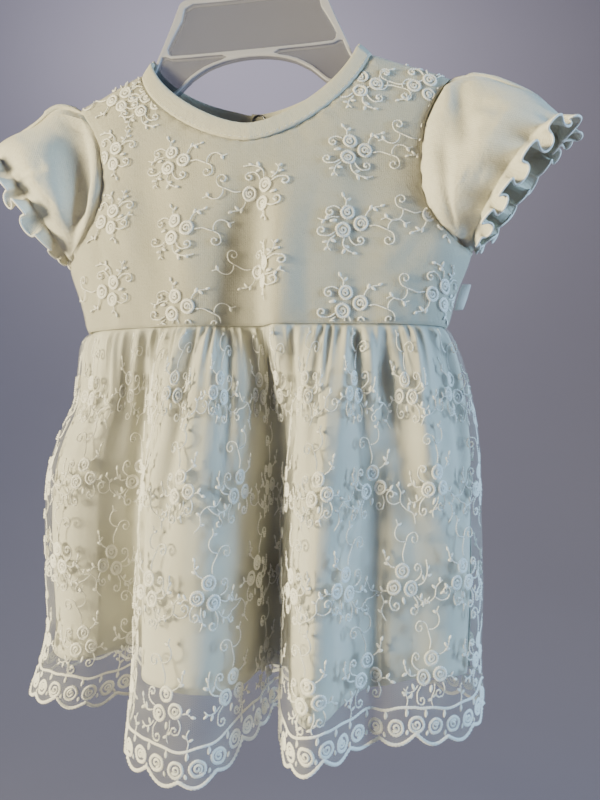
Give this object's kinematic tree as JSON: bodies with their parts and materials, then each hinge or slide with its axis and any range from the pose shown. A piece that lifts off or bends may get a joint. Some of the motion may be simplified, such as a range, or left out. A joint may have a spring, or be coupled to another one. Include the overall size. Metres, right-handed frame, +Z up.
{
  "type": "lace dress on hanger",
  "caption": "Baby's ivory dress with lace bodice front, cap sleeves with rippled edges and gathered scalloped lace skirt over a plain layer, on a frosted plastic hanger.",
  "frame": {"origin": "inner top of the hanger's hook, in the middle of its depth, where it rests on a rail or nail", "axes": "+Z up, from the hem to the hook; the dress's front faces -Y; +X to the right of the picture"},
  "size_m": [0.321, 0.0989, 0.4343],
  "materials": {
    "jersey": "soft cotton jersey, ivory",
    "lace": "ivory embroidered tulle",
    "lining": "plain fine weave, off-white",
    "label_tape": "satin tape, bare",
    "snap_metal": "dark nickel",
    "clear_plastic": "frosted translucent moulded plastic"
  },
  "bodies": {
    "root": {"bodice_front": "jersey", "bodice_lace": "lace", "bodice_back_left": "jersey", "bodice_back_right": "jersey", "neck_binding": "jersey", "sleeve_left": "jersey", "sleeve_right": "jersey", "skirt_lace_front": "lace", "skirt_lace_back": "lace", "skirt_lining_front": "lining", "skirt_lining_back": "lining", "side_label": "label_tape", "snap_ring_inner": "snap_metal", "snap_ring_outer": "snap_metal", "hanger": "clear_plastic"}
  },
  "joints": []
}
